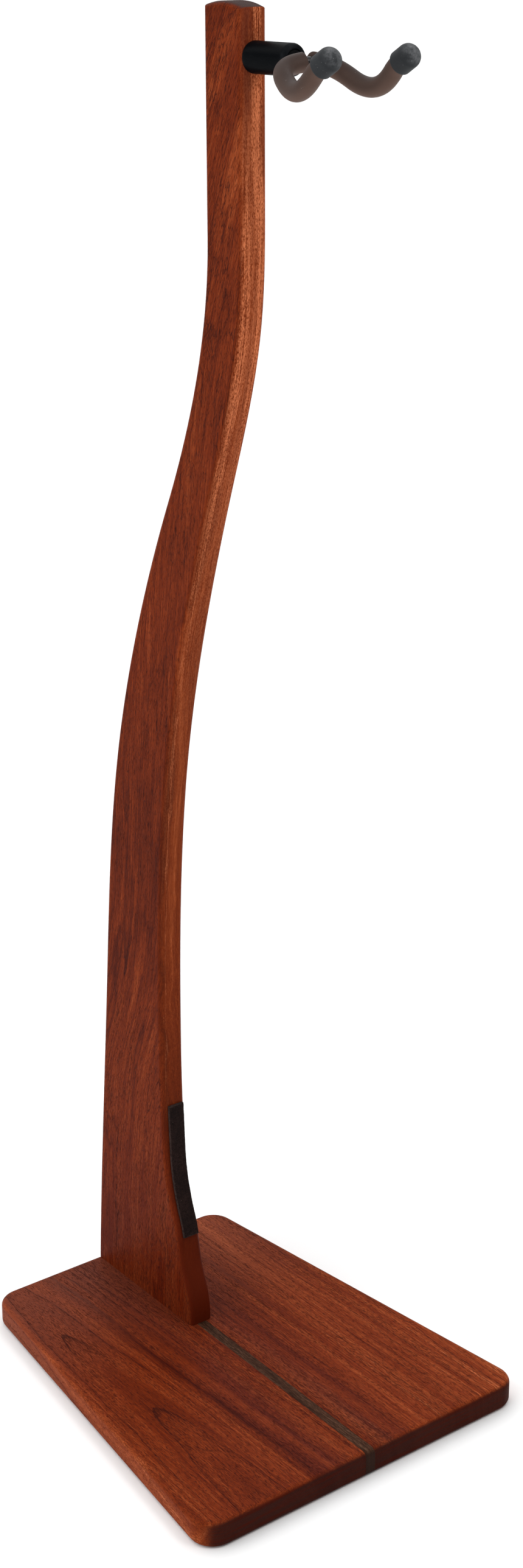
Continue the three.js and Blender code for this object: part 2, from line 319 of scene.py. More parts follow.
def corner_points(corner, before, after, radius, steps):
    """The outline functions round one convex corner between two straight runs."""
    into = (before - corner).normalized()
    out = (after - corner).normalized()
    half = into.angle(out) / 2
    bisector = (into + out).normalized()
    centre = corner + bisector * (radius / math.sin(half))
    first = ((corner + into * (radius / math.tan(half))) - centre).normalized()
    last = ((corner + out * (radius / math.tan(half))) - centre).normalized()
    made = []
    for step in range(steps + 1):
        outward = first.slerp(last, step / steps)

        def place(inset, outward=outward):
            past = max(inset - radius, 0)
            return centre + bisector * (past / math.sin(half)) + outward * max(radius - inset, 0)

        made.append(place)
    return made


def rounded_board(name, outline, thickness, rounding, place):
    """A board with quarter-round edges. place(point, height) puts an outline point in the frame."""
    support = 0.6 * MM
    rows = [(rounding + support, 0, 0)]
    for angle in spaced(0, RIGHT_ANGLE, 6):
        edge = math.sin(angle)
        rows.append((rounding * (1 - edge), rounding * (1 - math.cos(angle)), edge))
    rows += [(inset, thickness - height, edge) for inset, height, edge in reversed(rows)]
    rings = []
    for inset, height, _ in rows:
        rings.append([place(point(inset), height) for point in outline])
    mesh = skin(name, rings)
    mark(mesh, "edge", [edge for _, _, edge in rows for _ in outline])
    return mesh


def slice_between(mesh, name, axis, low, high):
    """The part of a mesh between two planes across an axis, closed at both."""
    shape = bmesh.new()
    shape.from_mesh(mesh)
    direction = Vector((0, 0, 0))
    direction[axis] = 1
    for position, sign in ((low, -1), (high, 1)):
        everything = shape.verts[:] + shape.edges[:] + shape.faces[:]
        result = bmesh.ops.bisect_plane(
            shape,
            geom=everything,
            plane_co=direction * position,
            plane_no=direction * sign,
            clear_outer=True,
        )
        edges = [item for item in result["geom_cut"] if isinstance(item, bmesh.types.BMEdge)]
        if edges:
            bmesh.ops.edgeloop_fill(shape, edges=edges)
    bmesh.ops.recalc_face_normals(shape, faces=shape.faces)
    made = bpy.data.meshes.new(name)
    shape.to_mesh(made)
    shape.free()
    smooth_curves(made)
    return made


# ---- Material tools ----
def arithmetic(operation):
    return lambda self, other: self.graph.math(operation, self, other)


def arithmetic_from_right(operation):
    return lambda self, other: self.graph.math(operation, other, self)


class Value:
    """What a material's node gives out. Arithmetic on it adds nodes."""

    def __init__(self, graph, socket):
        self.graph = graph
        self.socket = socket

    def __abs__(self):
        return self.graph.math("ABSOLUTE", self)

    __add__ = arithmetic("ADD")
    __sub__ = arithmetic("SUBTRACT")
    __mul__ = arithmetic("MULTIPLY")
    __truediv__ = arithmetic("DIVIDE")
    __pow__ = arithmetic("POWER")
    __radd__ = arithmetic_from_right("ADD")
    __rsub__ = arithmetic_from_right("SUBTRACT")


class Graph:
    """Builds a material's nodes. Each method returns the Value that its node gives out."""

    def __init__(self, name):
        self.material = bpy.data.materials.new(name)
        self.material.use_nodes = True
        self.tree = self.material.node_tree
        self.shader = self.tree.nodes["Principled BSDF"]
        coordinates = self.tree.nodes.new("ShaderNodeTexCoord")
        self.place = Value(self, coordinates.outputs["Object"])
        self.normal = Value(self, coordinates.outputs["Normal"])

    def feed(self, socket, value):
        if isinstance(value, Value):
            self.tree.links.new(value.socket, socket)
        else:
            socket.default_value = value

    def node(self, kind, *values, **settings):
        """A new node with these settings, and the values fed to its first inputs."""
        node = self.tree.nodes.new(f"ShaderNode{kind}")
        for name, setting in settings.items():
            setattr(node, name, setting)
        for socket, value in zip(node.inputs, values):
            self.feed(socket, value)
        return node

    def first(self, *arguments, **settings):
        """The first output of a new node."""
        return Value(self, self.node(*arguments, **settings).outputs[0])

    def math(self, operation, *values):
        return self.first("Math", *values, operation=operation)

    def split(self, vector):
        return [Value(self, output) for output in self.node("SeparateXYZ", vector).outputs[:3]]

    def noise(self, place, detail, rough):
        """Noise from 0 to 1. The place is a vector or its three parts."""
        if isinstance(place, tuple):
            place = self.first("CombineXYZ", *place)
        node = self.node("TexNoise", place)
        for name, number in (("Scale", 1), ("Detail", detail), ("Roughness", rough)):
            node.inputs[name].default_value = number
        return Value(self, node.outputs[0])

    def grain(self, scale, detail, rough):
        """Noise over the object. The scale is one number, or one for each axis."""
        scales = scale if isinstance(scale, tuple) else (scale,) * 3
        place = self.first("VectorMath", self.place, scales, operation="MULTIPLY")
        return self.noise(place, detail, rough)

    def swing(self, place, reach):
        """Noise from about -reach to +reach."""
        return (self.noise(place, 2, 0.5) - 0.5) * (2 * reach)

    def smooth(self, value, low, high, start=0.0, end=1.0):
        """Eases from start to end while the value goes from low to high."""
        values = (value, low, high, start, end)
        return self.first("MapRange", *values, interpolation_type="SMOOTHSTEP")

    def mix(self, share, first, second):
        """The first colour, with a share of the second in its place."""
        node = self.node("Mix", share, data_type="RGBA")
        colour_sockets = node.inputs[6:8]
        for socket, value in zip(colour_sockets, (first, second)):
            self.feed(socket, value if isinstance(value, Value) else (*value, 1))
        return Value(self, node.outputs[2])

    def cover(self, colour, *coats):
        """A colour with others laid over it in turn, from (share, colour) pairs."""
        for share, coat in coats:
            colour = self.mix(share, colour, coat)
        return colour

    def ramp(self, value, *stops):
        """A colour ramp from (position, colour) stops."""
        node = self.node("ValToRGB", value)
        elements = node.color_ramp.elements
        while len(elements) < len(stops):
            elements.new(0.5)
        for element, (position, colour) in zip(elements, stops):
            element.position = position
            element.color = (*colour, 1)
        return Value(self, node.outputs[0])

    def curve(self, value, *points):
        """A smooth curve through (value, result) points between 0 and 1."""
        node = self.node("FloatCurve", 1, value)
        line = node.mapping.curves[0]
        while len(line.points) < len(points):
            line.points.new(0.5, 0.5)
        for point, place in zip(line.points, points):
            point.location = place
        node.mapping.update()
        return Value(self, node.outputs[0])

    def attribute(self, name):
        return Value(self, self.node("Attribute", attribute_name=name).outputs["Fac"])

    def finish(self, colour, roughness, height=None, depth=0.0, **settings):
        """The material, with its shader's colour, roughness, relief and other settings."""
        self.feed(self.shader.inputs["Base Color"], colour)
        self.feed(self.shader.inputs["Roughness"], roughness)
        if height is not None:
            bump = self.node("Bump", 1, depth)
            self.feed(bump.inputs["Height"], height)
            self.tree.links.new(bump.outputs[0], self.shader.inputs["Normal"])
        for name, value in settings.items():
            self.shader.inputs[name.replace("_", " ")].default_value = value
        return self.material


# ---- Wood ----
WOOD_DARK = (0.052, 0.0066, 0.0028)
WOOD_MID = (0.152, 0.0215, 0.0046)
WOOD_LIGHT = (0.285, 0.056, 0.0145)
WOOD_GLOW = (0.640, 0.190, 0.078)
WOOD_LINE = (0.020, 0.0042, 0.0034)
WOOD_PURPLE = (0.064, 0.0100, 0.0078)
WOOD_DEEP = (0.066, 0.0044, 0.0014)
# Painted sheen: a paler, greyer wood colour standing in for the reflection of the bright background.
WOOD_PAINTED_SHEEN = (0.240, 0.078, 0.048)
BASE_END = (0.034, 0.0098, 0.0070)
# The upright's end grain, greyed by a painted reflection of the bright light above its top.
UPRIGHT_END = (0.050, 0.031, 0.028)
WOOD_TONES = ((0.0, WOOD_DARK), (0.40, WOOD_MID), (0.74, WOOD_LIGHT), (1.0, WOOD_GLOW))
STRIP_DARK = (0.020, 0.0080, 0.0042)
STRIP_MID = (0.056, 0.0225, 0.0120)
STRIP_LIGHT = (0.115, 0.058, 0.034)
STRIP_TONES = ((0.0, STRIP_DARK), (0.5, STRIP_MID), (1.0, STRIP_LIGHT))


def grain_tone(g, ring, across, thick, along):
    """How light the wood is, from 0 to 1: broad bands, stripes, streaks and fibres."""
    broad = g.noise((ring * 34, along * 0.8, 3.1), 2, 0.5)
    band = g.noise((ring * 120, along * 1.6, 7.7), 2, 0.55)
    stripe = g.noise((ring * 460, along * 3, 1.3), 2, 0.6)
    streak = g.noise((across * 900, thick * 900, along * 18), 2, 0.6)
    fibre = g.noise((across * 2800, thick * 2800, along * 120), 2, 0.7)
    tone = 0.42 + (broad - 0.5) * 1.3 + (band - 0.5) * 0.9 + (stripe - 0.5) * 0.6
    return tone + (streak - 0.5) * 0.6 + (fibre - 0.5) * 0.8, broad, band


def pores(g, across, thick, along, density):
    """Open pores: short dark dashes along the grain, closer together where density is higher."""
    small = g.noise((across * 2700, thick * 2700, along * 300), 1, 0.5)
    large = g.noise((across * 1500, thick * 1500, along * 170), 1, 0.5)
    limit = g.smooth(density, 0.3, 0.7, 0.585, 0.455)
    fine = g.smooth(small, limit, limit + 0.14)
    coarse = g.smooth(large, limit + 0.07, limit + 0.18)
    return g.math("MAXIMUM", fine, coarse)


def latewood(g, ring, spacing, warp, presence, across, thick, along):
    """Thin dark growth lines, dark on one side and fading on the other, broken up by pores."""
    phase = g.math("FRACT", ring * (1 / spacing) + warp)
    shade = g.smooth(phase, 0.50, 0.98, 0.0, 0.30)
    sharp = g.smooth(phase, 0.90, 0.97, 0.0, 0.70)
    drop = g.smooth(phase, 0.975, 1.0, 1.0, 0.0)
    dashes = g.noise((across * 1500, thick * 1500, along * 200), 2, 0.6)
    broken = g.smooth(dashes, 0.36, 0.60, 0.40, 1.0)
    return (shade + sharp) * drop * g.smooth(presence, 0.42, 0.58) * broken


def stripe_at(g, x, middle, half):
    """1 along a line of x values, falling to 0 a little over half its width away."""
    return g.smooth(abs(x - middle) / half, 0.1, 1.25, 1.0, 0.0)


def wood_finish(g, tone, line, pore, end, end_colour, tints):
    """A board's material. The tints are (share, colour) pairs, laid over the tones in turn."""
    # Paler round-overs: partly wear, partly a painted highlight along the rounded edges.
    edge_wear_and_highlight = g.attribute("edge") * 0.12 * (1.0 - end)
    colour = g.cover(
        g.ramp(tone, *WOOD_TONES),
        *tints,
        (line * 0.75, WOOD_LINE),
        (pore * 0.64, WOOD_LINE),
        (end * 0.95, end_colour),
        (edge_wear_and_highlight, WOOD_LIGHT),
    )
    roughness = 0.42 + pore * 0.25 + end * 0.12 + tone * -0.05
    return g.finish(colour, roughness, tone * 0.12 - pore, 0.12 * MM, Specular_IOR_Level=0.02)


def base_wood(name, pith, taper, seed, purple, lift):
    """A base board with its grain along Y: rings about a pith line, and one purple-brown band.

    The pith is at (x, z), and the taper leans it along Y. The band is (middle, half its width).
    The lift makes the wood away from the centre strip lighter.
    """
    g = Graph(name)
    pith_x, pith_z = pith
    x, y, z = g.split(g.place)
    slow = g.swing((x * 14, y * 3.4, seed), 0.012)
    quick = g.swing((x * 60, y * 12, seed + 4.0), 0.003)
    fine = g.swing((x * 240, y * 60, seed + 8.0), 0.0008)
    warped = x + slow + quick + fine
    ring = g.math("SQRT", (warped - pith_x) ** 2 + (z - pith_z) ** 2) + y * taper
    nx, ny, _ = g.split(g.normal)
    end = g.smooth(abs(ny), 0.40, 0.90)
    flank = g.smooth(abs(nx), 0.40, 0.90)
    tone, broad, band = grain_tone(g, ring, x, z, y)
    # The flank term lifts the side faces: a painted highlight of the light from the side and the floor.
    tone = tone + g.smooth(abs(warped), 0.030, 0.080, -0.05, lift) + flank * 0.16
    presence = g.noise((ring * 75, y * 2.2, seed + 9.0), 2, 0.6)
    line = latewood(g, ring, 0.0064, broad * 2.2, presence, x, z, y)
    pore = pores(g, x, z, y, band * 0.75 + line * 0.4 + presence * 0.2)
    cool = stripe_at(g, warped, *purple) * g.smooth(band, 0.36, 0.62, 0.15, 0.70)
    cool = cool * g.smooth(presence, 0.30, 0.60, 0.45, 1.0)
    # Painted sheen: the boards turn paler and greyer towards the back, where they would reflect the
    # bright background.
    painted_sheen = g.smooth(y, 0.0, base_high.y, 0.0, 0.30)
    layers = g.noise((x * 16, seed, z * 420), 3, 0.6)
    end_colour = g.mix(g.smooth(layers, 0.40, 0.68), BASE_END, WOOD_DARK)
    tints = [(cool, WOOD_PURPLE), (painted_sheen, WOOD_PAINTED_SHEEN)]
    return wood_finish(g, tone, line, pore, end, end_colour, tints)


def upright_wood(name):
    """The upright: grain near vertical but leaning, ribbon stripes on the front edge, with their
    chatoyant sheen painted in.
    """
    g = Graph(name)
    x, y, z = g.split(g.place)
    height = z * (1 / cad_bounds[1].z)
    leaning = ((0, 0), (0.17, 0.08), (0.32, 0.29), (0.48, 0.38), (0.72, 0.54), (0.8, 0.63), (1, 1))
    across = y + g.curve(height, *leaning) * 0.21
    slow = g.swing((across * 28, x * 9, z * 4.6), 0.020)
    quick = g.swing((across * 110, x * 30, z * 16), 0.0050)
    fine = g.swing((across * 360, x * 100, z * 90), 0.0011)
    ring = x + slow + quick + fine
    _, ny, nz = g.split(g.normal)
    end = g.smooth(abs(nz), 0.55, 0.97)
    front = g.smooth(abs(ny), 0.30, 0.90)
    tone, broad, band = grain_tone(g, ring, across, x, z)
    presence = g.noise((across * 40, x * 20, z * 7), 2, 0.6)
    presence = presence + g.smooth(z, 0.55, 0.95) * 0.06 + front * -0.3
    line = latewood(g, ring, 0.0040, broad * 0.8, presence, across, x, z)
    density = band * 0.75 + line * 0.15 + presence * 0.15
    pore = pores(g, across, x, z, density) * (1.0 - front * 0.85)

    # Flame figure near the top: thin dark contour lines.
    flame = g.noise((across * 52, x * 20, z * 11), 5, 0.6)
    contour = g.smooth(abs(g.math("FRACT", flame * 7) - 0.5), 0.0, 0.08, 1.0, 0.0)
    contour = contour * g.smooth(presence, 0.46, 0.56) * g.smooth(z, 0.66, 0.86) * (1.0 - front)
    line = g.math("MAXIMUM", line, contour)

    # Ribbon stripes on the front edge, lit up with a painted chatoyant sheen: one high up and right of
    # the middle, one lower and left.
    sway = g.swing((x * 60, 0.0, z * 9), 0.0030)
    ragged = g.swing((x * 500, 0.0, z * 30), 0.0050)
    where = (x + sway + ragged) / BOARD
    high_x = g.curve(height, (0, 0.75), (0.8, 0.75), (0.88, 0.68), (0.93, 0.60), (1, 0.60))
    high_half = g.curve(height, (0, 0.2), (0.84, 0.2), (0.9, 0.28), (1, 0.19))
    high = stripe_at(g, where, high_x - 0.5, high_half)
    high = high * g.curve(height, (0, 0), (0.6, 0.05), (0.7, 0.35), (0.8, 0.85), (0.88, 1), (1, 1))
    low = stripe_at(g, where, -0.27, g.curve(height, (0, 0.07), (0.62, 0.08), (0.76, 0.20), (1, 0.22)))
    low = low * g.curve(height, (0, 0), (0.16, 0.05), (0.3, 0.4), (0.6, 0.35), (0.76, 0.9), (1, 1))
    low = low * g.smooth(z + x * 4, 0.84, 0.96, 1.0, 0.0)
    even = g.curve(height, (0, 0), (0.16, 0), (0.5, 0.16), (0.75, 0.40), (0.85, 0.3), (1, 0.10))
    threads = g.noise((x * 1300, y * 20, z * 22), 2, 0.6)
    fleck = g.noise((x * 1500, y * 900, z * 520), 2, 0.7)
    spark = g.smooth(fleck + (threads - 0.5) * 0.8, 0.30, 0.70)
    # This paints the front edge's chatoyant sheen as bright colour on the ribbon stripes.
    painted_chatoyance = front * spark * g.math("MINIMUM", high + low + even, 1.0)
    cool = front * stripe_at(g, where, -0.33, 0.22) * g.smooth(z, 0.88, 1.0, 0.0, 0.6)

    # Darker and redder towards the foot, most on the front edge: partly darker wood, partly painted
    # shade and red bounce light from the base.
    deep = g.smooth(z, 0.02, 0.24, 0.95, 0.0) * (0.55 + front * 0.45)
    face_tone = g.smooth(z, 0.70, 0.92, 0.06, -0.06)
    edge_tone = g.smooth(z, 0.12, 0.36, -0.20, -0.03)
    tone = tone + (face_tone + front * (edge_tone - face_tone))
    tints = [(cool, WOOD_PURPLE), (painted_chatoyance, WOOD_GLOW), (deep, WOOD_DEEP)]
    return wood_finish(g, tone, line, pore, end, UPRIGHT_END, tints)


def strip_wood():
    """The dark strip: fine straight grain along Y."""
    g = Graph("strip_wood")
    x, y, z = g.split(g.place)
    ring = x + g.swing((x * 30, y * 14, 2.0), 0.008)
    band = g.noise((ring * 520, y * 9, 1.0), 3, 0.6)
    fibre = g.noise((x * 1800, z * 1800, y * 60), 2, 0.6)
    pore = pores(g, x, z, y, 0.62)
    tone = 0.5 + (band - 0.5) * 1.8 + (fibre - 0.5) * 0.8
    _, ny, _ = g.split(g.normal)
    end = g.smooth(abs(ny), 0.55, 0.97)
    colour = g.cover(
        g.ramp(tone, *STRIP_TONES),
        (pore * 0.6, (0.012, 0.006, 0.004)),
        (end * 0.9, (0.030, 0.014, 0.010)),
    )
    height = tone * 0.1 - pore
    return g.finish(colour, 0.45 + pore * 0.2, height, 0.12 * MM, Specular_IOR_Level=0.02)


# ---- Other materials ----
def rubber_tubing():
    """Milky brown rubber, with painted shade on top, painted light from the floor underneath, and a few
    specks of dust.
    """
    g = Graph("brown_rubber_tubing")
    blotch = g.grain(60, 4, 0.6)
    fine = g.grain(2600, 2, 0.6)
    dust = g.smooth(g.grain(900, 0, 0.5), 0.84, 0.88)
    _, _, nz = g.split(g.normal)
    colour = g.cover(
        (0.043, 0.026, 0.0215),
        (blotch, (0.071, 0.043, 0.033)),
        (fine * 0.2, (0.05, 0.032, 0.025)),
        # Painted shade on the upward-facing side.
        (g.smooth(nz, 0.2, 0.95, 0.0, 0.65), (0.026, 0.016, 0.0135)),
        # Painted light on the underside, as from the bright floor.
        (g.smooth(nz, -0.9, 0.1, 0.7, 0.0), (0.128, 0.077, 0.059)),
        (dust * 0.3, (0.3, 0.25, 0.22)),
    )
    gloss = {"Specular_IOR_Level": 0.08, "Sheen_Weight": 0.03}
    return g.finish(colour, 0.46 + blotch * 0.16, fine + dust, 0.04 * MM, **gloss)


def cap_rubber():
    """Black rubber, with a painted highlight round the tip of the dome."""
    g = Graph("black_cap_rubber")
    blotch = g.grain(120, 3, 0.6)
    mottle = g.grain(520, 3, 0.7)
    fine = g.grain(2200, 3, 0.7)
    speck = g.smooth(g.grain(1300, 0, 0.5), 0.82, 0.86)
    patch = g.smooth(blotch + (mottle - 0.5) * 0.3, 0.30, 0.80)
    colour = g.cover(
        (0.0110, 0.0128, 0.0148),
        (blotch, (0.0250, 0.0272, 0.0300)),
        # Painted highlight round the tip of the dome, broken up by noise.
        (g.smooth(g.attribute("tip"), 0.25, 1.0) * patch, (0.145, 0.148, 0.154)),
        (speck * 0.3, (0.3, 0.3, 0.3)),
    )
    roughness = 0.44 + blotch * 0.3
    return g.finish(colour, roughness, fine + blotch * 2, 0.06 * MM, Specular_IOR_Level=0.16)


def barrel_plastic():
    """Black plastic, with a painted highlight round the front rim."""
    g = Graph("black_barrel_plastic")
    fine = g.grain((3000, 900, 3000), 2, 0.6)
    blotch = g.grain((90, 40, 90), 3, 0.6)
    mottle = g.smooth(g.grain((500, 160, 500), 3, 0.7), 0.58, 0.75)
    _, y, _ = g.split(g.place)
    rim_start = BARREL_FRONT + 0.2 * BARREL_EDGE
    rim_end = BARREL_FRONT + 1.4 * BARREL_EDGE
    rim = g.smooth(y, rim_start, rim_end, 1.0, 0.0)
    colour = g.cover(
        (0.0012, 0.0016, 0.0022),
        (blotch, (0.0024, 0.0030, 0.0038)),
        (mottle * 0.12, (0.03, 0.031, 0.034)),
        # Painted highlight on the rounded front rim, broken up by the blotches.
        (rim * g.smooth(blotch, 0.35, 0.65, 0.1, 0.5), (0.022, 0.024, 0.027)),
    )
    roughness = 0.28 + fine * 0.14 + blotch * 0.1
    return g.finish(colour, roughness, fine, 0.02 * MM, Specular_IOR_Level=0.015)


def bearing_plastic():
    g = Graph("bearing_plastic")
    fine = g.grain(2400, 3, 0.6)
    colour = g.mix(fine, (0.0025, 0.0028, 0.0032), (0.0050, 0.0054, 0.0060))
    return g.finish(colour, 0.38 + fine * 0.15, fine, 0.03 * MM, Specular_IOR_Level=0.05)


def pad_cloth():
    """Dark napped cloth, paler along its edges, with specks of lint."""
    g = Graph("pad_cloth")
    nap = g.grain((1500, 1500, 1100), 3, 0.75)
    tuft = g.grain(420, 3, 0.65)
    blotch = g.grain((90, 90, 60), 2, 0.5)
    lint = g.smooth(g.grain((1100, 1100, 800), 0, 0.5), 0.83, 0.86)
    colour = g.cover(
        (0.0050, 0.0028, 0.0025),
        (g.smooth(nap * 0.7 + tuft * 0.3, 0.30, 0.72), (0.0360, 0.0195, 0.0170)),
        (g.smooth(blotch, 0.35, 0.75, 0.0, 0.6), (0.0085, 0.0055, 0.0052)),
        (g.attribute("edge") * g.smooth(tuft, 0.30, 0.62, 0.1, 0.6), (0.060, 0.038, 0.033)),
        (lint * 0.35, (0.16, 0.12, 0.10)),
    )
    gloss = {"Specular_IOR_Level": 0.02, "Sheen_Weight": 0.015, "Sheen_Roughness": 0.6}
    return g.finish(colour, 0.95, nap + tuft, 0.55 * MM, **gloss)


def turned_metal(name, colour):
    """Metal with fine turning marks and darker stains."""
    g = Graph(name)
    marks = g.grain((300, 9000, 9000), 2, 0.6)
    stain = g.grain(180, 4, 0.6)
    dark = tuple(value * 0.6 for value in colour)
    shade = g.mix(g.smooth(stain, 0.35, 0.7), colour, dark)
    roughness = 0.22 + marks * 0.12 + stain * 0.16
    return g.finish(shade, roughness, marks, 0.01 * MM, Metallic=1.0)


def floor_paper():
    g = Graph("floor_paper")
    colour = g.mix(g.grain(2.5, 3, 0.5), (0.90, 0.90, 0.90), (0.915, 0.915, 0.915))
    return g.finish(colour, 0.9, Specular_IOR_Level=0.0)


# ---- Base ----
def base_outline():
    front, back, half = BASE_FRONT_WIDTH / 2, BASE_BACK_WIDTH / 2, base_high.y
    places = ((-front, -half), (front, -half), (back, half), (-back, half))
    corners = [Vector(place) for place in places]
    outline = []
    for index, corner in enumerate(corners):
        before = corners[index - 1]
        after = corners[(index + 1) % len(corners)]
        outline += corner_points(corner, before, after, BASE_CORNER, 14)
    return outline


def round_node(node, axis):
    """Where a round node starts on its axis, with its length and its radius."""
    low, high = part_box(node)
    length = (high - low).dot(axis)
    return (low + high) / 2 - axis * (length / 2), length, (high.x - low.x) / 2


def floor_point(node):
    """The point on the floor under the middle of a node."""
    low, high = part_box(node)
    return Vector(((low.x + high.x) / 2, (low.y + high.y) / 2, 0))


BOLT_PLACES = [floor_point("base_bolt_front"), floor_point("base_bolt_rear")]


def hole(radius, start, end, origin, axis):
    """A cutter for a round hole."""
    return turned("hole", [(radius, start), (radius, end)], origin, axis, 48)


def make_base():
    """One slab, cut into its two boards and the strip between them, and drilled."""

    def place(point, height):
        return Vector((point.x, point.y, height))

    slab = rounded_board("slab", base_outline(), BOARD, BASE_ROUND, place)
    radius, depth = COUNTERBORE
    holes = []
    for origin in BOLT_PLACES:
        holes.append(hole(radius, -MM, depth, origin, UPWARD))
        holes.append(hole(BOLT_RADIUS + GAP, depth / 2, BOARD + MM, origin, UPWARD))
    left_wood = base_wood(
        "mahogany_left", pith=(-0.098, -0.006), taper=0.05, seed=2.0, purple=(-0.033, 0.019), lift=-0.015
    )
    right_wood = base_wood(
        "mahogany_right", pith=(-0.21, -0.012), taper=0.012, seed=31.0, purple=(0.023, 0.021), lift=0.13
    )
    parts = [
        ("base_board_left", base_low.x - MM, base_high.x, left_wood, "mahogany"),
        ("centre_strip", strip_low.x, strip_high.x, strip_wood(), "dark_wood"),
        ("base_board_right", -base_high.x, -base_low.x + MM, right_wood, "mahogany"),
    ]
    for node, low, high, material, slot in parts:
        mesh = slice_between(slab, node, 0, low, high)
        piece(node, "wood", cut(mesh, *holes), material, "stand", slot)


# ---- Upright ----
def edge_at(edge, z):
    """The depth position of an edge at a height."""
    if z <= edge[0][0]:
        return edge[0][1]
    if z >= edge[-1][0]:
        return edge[-1][1]
    index = next(i for i, point in enumerate(edge) if point[0] > z) - 1
    z0, y0, lean0 = edge[index]
    z1, y1, lean1 = edge[index + 1]
    span = z1 - z0
    t = (z - z0) / span
    ease = t * t * (3 - 2 * t)
    leave = t * (1 - t) ** 2 * span * lean0
    arrive = t * t * (t - 1) * span * lean1
    return y0 + (y1 - y0) * ease + leave + arrive


def edge_slope(edge, z):
    """How fast an edge's depth changes with height."""
    return (edge_at(edge, z + 0.5 * MM) - edge_at(edge, z - 0.5 * MM)) / MM


def edge_curve(edge, start, end, steps, outward_sign):
    """Outline functions up or down an edge; outward_sign is -1 on the front."""
    made = []
    for z in spaced(start, end, steps):
        outward = Vector((outward_sign, -outward_sign * edge_slope(edge, z))).normalized()
        made.append(curve_point(Vector((edge_at(edge, z), z)), outward))
    return made


def upright_outline():
    foot = BOARD - 2 * UPRIGHT_ROUND
    top_front = Vector((FRONT_EDGE[-1][1], TOP_FRONT))
    top_back = Vector((BACK_EDGE[-1][1], TOP_BACK))
    middle = (top_front + top_back) / 2
    crown_control = Vector((middle.x, 2 * TOP_CROWN - middle.y))
    back = edge_curve(BACK_EDGE, foot, EDGE_TOP, 170, 1)
    front = edge_curve(FRONT_EDGE, EDGE_TOP, foot, 200, -1)
    crown = []
    for t in spaced(0.14, 0.86, 14):
        run = (crown_control - top_back) * (1 - t) + (top_front - crown_control) * t
        outward = Vector((-run.y, run.x)).normalized()
        if outward.y < 0:
            outward.negate()
        crown.append(curve_point(bend(top_back, crown_control, top_front, t), outward))
    below_back = Vector((top_back.x, EDGE_TOP))
    below_front = Vector((top_front.x, EDGE_TOP))
    back_corner = corner_points(top_back, below_back, crown_control, TOP_CORNER, 5)
    front_corner = corner_points(top_front, crown_control, below_front, TOP_CORNER, 5)
    return [*back, *back_corner, *crown, *front_corner, *front]


def make_upright():
    low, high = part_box("upright")

    def place(point, height):
        return Vector((low.x + height, point.x, point.y))

    board = rounded_board("board", upright_outline(), high.x - low.x, UPRIGHT_ROUND, place)
    mesh = slice_between(board, "upright", 2, low.z, high.z + MM)
    holes = []
    for origin, node in zip(BOLT_PLACES, ("foot_insert_front", "foot_insert_rear")):
        insert_low, insert_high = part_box(node)
        radius = (insert_high.x - insert_low.x) / 2 + GAP
        holes.append(hole(radius, 0, insert_high.z + GAP, origin, UPWARD))
    _, stud_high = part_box("hanger_stud")
    origin = (0, barrel_high.y, AXIS_Z)
    holes.append(hole(BOLT_RADIUS + GAP, -5 * MM, stud_high.y - barrel_high.y, origin, BACKWARD))
    made = cut(mesh, *holes)
    piece("upright", "board", made, upright_wood("mahogany_upright"), "stand", "mahogany")


def pad_section(width):
    """Points round the pad's section as (x, depth), with rounded corners, closely spaced."""
    section = []
    for turn, (x, depth) in enumerate(((1, 1), (-1, 1), (-1, 0), (1, 0))):
        middle_x = x * (width / 2 - PAD_CORNER)
        middle_depth = PAD_THICKNESS - PAD_CORNER if depth else PAD_CORNER
        for step in range(4):
            angle = RIGHT_ANGLE * (turn + step / 3)
            away_x, away_depth = PAD_CORNER * math.cos(angle), PAD_CORNER * math.sin(angle)
            section.append((middle_x + away_x, middle_depth + away_depth))
    dense = []
    for index, (x0, d0) in enumerate(section):
        x1, d1 = section[(index + 1) % len(section)]
        parts = max(1, round(math.hypot(x1 - x0, d1 - d0) / (0.45 * MM)))
        for part in range(parts):
            share = part / parts
            dense.append((x0 + (x1 - x0) * share, d0 + (d1 - d0) * share))
    return dense


def make_pad():
    low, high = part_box("body_pad")
    width = high.x - low.x
    middle = (high.x + low.x) / 2
    bottom, top = low.z + 1.0 * MM, high.z
    section = pad_section(width)
    rings = []
    edges = []
    for z in spaced(bottom, top, 230):
        outward = Vector((0, -1, edge_slope(FRONT_EDGE, z))).normalized()
        anchor = Vector((0, edge_at(FRONT_EDGE, z), z)) + outward * PAD_LIFT
        end_fade = min((z - bottom), (top - z)) / (1.2 * MM)
        ring = []
        for x, depth in section:
            place = anchor + outward * depth + Vector((middle + x, 0, 0))
            if depth > 0.1 * MM:
                rough = noise.noise(place * 900) * 0.10 * MM + noise.noise(place * 260) * 0.12 * MM
                away = Vector((x / (width / 2), 0, 0)) * 0.5 + outward * (depth / PAD_THICKNESS)
                place = place + away * rough
            ring.append(place)
            near_side = abs(x) / (width / 2)
            edges.append(max(max(near_side - 0.93, 0) / 0.07, 1 - min(end_fade, 1)))
        rings.append(ring)
    mesh = skin("pad", rings, sharp=60)
    mark(mesh, "edge", edges)
    made = piece("body_pad", "strip", mesh, pad_cloth(), "stand", "pad_felt")


# ---- Fasteners ----
steel = turned_metal("plated_steel", (0.62, 0.62, 0.60))
dark_steel = turned_metal("black_oxide_steel", (0.035, 0.034, 0.034))
brass = turned_metal("turned_brass", (0.55, 0.38, 0.14))


def hexagon(radius, angle):
    """The distance to a hexagon's side, with corners at radius."""
    step = (angle % (math.pi / 3)) - math.pi / 6
    return radius * math.cos(math.pi / 6) / math.cos(step)


